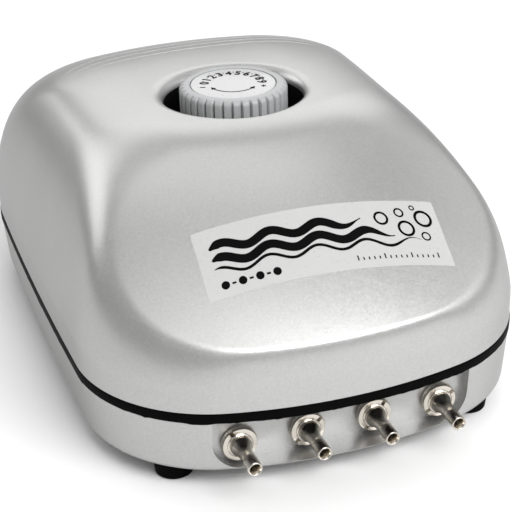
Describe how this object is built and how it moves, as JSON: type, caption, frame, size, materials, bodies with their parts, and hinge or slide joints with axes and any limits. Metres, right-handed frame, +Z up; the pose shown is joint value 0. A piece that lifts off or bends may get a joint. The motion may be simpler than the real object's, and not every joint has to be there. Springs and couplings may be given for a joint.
{
  "type": "aquarium air pump",
  "caption": "Domed aquarium air pump with air outlet nipples in a front pocket, a top control knob in a well, and an electromagnetic diaphragm drive inside.",
  "frame": {"origin": "under the middle of the whole pump's box, on the surface that the feet stand on", "axes": "+Z up, -Y the front with the air outlets, +X to the right seen from the front"},
  "size_m": [0.1476, 0.2242, 0.0912],
  "materials": {
    "silver_paint": "satin silver paint with fine flake",
    "black_rubber": "matt black rubber",
    "nickel": "bright nickel plate",
    "grey_plastic": "moulded light grey",
    "white_plastic": "gloss white",
    "black_plastic": "moulded black",
    "steel": "zinc plated",
    "core_steel": "stacked laminations",
    "copper": "enamelled copper wire",
    "ferrite": "dull dark ferrite",
    "board_green": "solder mask",
    "clear_hose": "translucent silicone",
    "felt": "felt"
  },
  "bodies": {
    "housing": {"top_cover": "silver_paint", "base_housing": "silver_paint", "cover_gasket": "black_rubber", "cord_gland": "black_rubber", "foot_1": "black_rubber", "foot_2": "black_rubber", "foot_3": "black_rubber", "foot_4": "black_rubber", "outlet_nipple_1": "nickel", "outlet_nipple_2": "nickel", "outlet_nipple_3": "nickel", "outlet_nipple_4": "nickel", "outlet_nut_1": "nickel", "outlet_nut_2": "nickel", "outlet_nut_3": "nickel", "outlet_nut_4": "nickel", "potentiometer_body": "steel", "potentiometer_nut": "steel", "core_screw_1": "steel", "core_screw_2": "steel", "housing_screw_1": "steel", "housing_screw_2": "steel", "housing_screw_3": "steel", "housing_screw_4": "steel", "control_board": "board_green", "magnet_core": "core_steel", "coil_bobbin": "black_plastic", "air_manifold": "black_plastic", "coil_winding": "copper", "intake_felt": "felt", "head_screw_left_1": "steel", "head_screw_left_2": "steel", "arm_pivot_left": "black_rubber", "diaphragm_left": "black_rubber", "pump_head_left": "black_plastic", "head_cover_left": "black_plastic", "air_hose_left": "clear_hose", "head_screw_right_1": "steel", "head_screw_right_2": "steel", "arm_pivot_right": "black_rubber", "diaphragm_right": "black_rubber", "pump_head_right": "black_plastic", "head_cover_right": "black_plastic", "air_hose_right": "clear_hose"},
    "control": {"control_knob": "grey_plastic", "knob_disc": "white_plastic", "potentiometer_shaft": "steel"},
    "arm_left": {"swing_arm_left": "steel", "arm_magnet_left": "ferrite", "diaphragm_hub_left": "steel"},
    "arm_right": {"swing_arm_right": "steel", "arm_magnet_right": "ferrite", "diaphragm_hub_right": "steel"},
    "intake_valve_left": {"intake_flap_left": "black_rubber"},
    "intake_valve_right": {"intake_flap_right": "black_rubber"},
    "outlet_valve_left": {"outlet_flap_left": "black_rubber"},
    "outlet_valve_right": {"outlet_flap_right": "black_rubber"}
  },
  "joints": [
    {"name": "knob_turn", "type": "hinge", "parent": "housing", "child": "control", "pos_m": [0, -0.00155, 0.0891], "axis": [0, 0, 1], "range_deg": [-135, 135]},
    {"name": "arm_swing_left", "type": "hinge", "parent": "housing", "child": "arm_left", "pos_m": [-0.012, 0.07835, 0.0359], "axis": [0, 0, 1], "range_deg": [-1.5, 1.5], "stiffness_Nm_per_rad": 2, "deforming": ["diaphragm_left"]},
    {"name": "arm_swing_right", "type": "hinge", "parent": "housing", "child": "arm_right", "pos_m": [0.012, 0.07835, 0.0359], "axis": [0, 0, 1], "range_deg": [-1.5, 1.5], "stiffness_Nm_per_rad": 2, "deforming": ["diaphragm_right"]},
    {"name": "intake_flap_left", "type": "hinge", "parent": "housing", "child": "intake_valve_left", "pos_m": [-0.0365, 0.05785, 0.0359], "axis": [0, 0, 1], "range_deg": [0, 12], "stiffness_Nm_per_rad": 0.00002},
    {"name": "outlet_flap_left", "type": "hinge", "parent": "housing", "child": "outlet_valve_left", "pos_m": [-0.04, 0.03685, 0.0359], "axis": [0, 0, 1], "range_deg": [0, 12], "stiffness_Nm_per_rad": 0.00002},
    {"name": "intake_flap_right", "type": "hinge", "parent": "housing", "child": "intake_valve_right", "pos_m": [0.0365, 0.05785, 0.0359], "axis": [0, 0, 1], "range_deg": [-12, 0], "stiffness_Nm_per_rad": 0.00002},
    {"name": "outlet_flap_right", "type": "hinge", "parent": "housing", "child": "outlet_valve_right", "pos_m": [0.04, 0.03685, 0.0359], "axis": [0, 0, 1], "range_deg": [-12, 0], "stiffness_Nm_per_rad": 0.00002}
  ],
  "couplings": [
    {"joint": "arm_swing_right", "follows": "arm_swing_left", "ratio": -1}
  ]
}
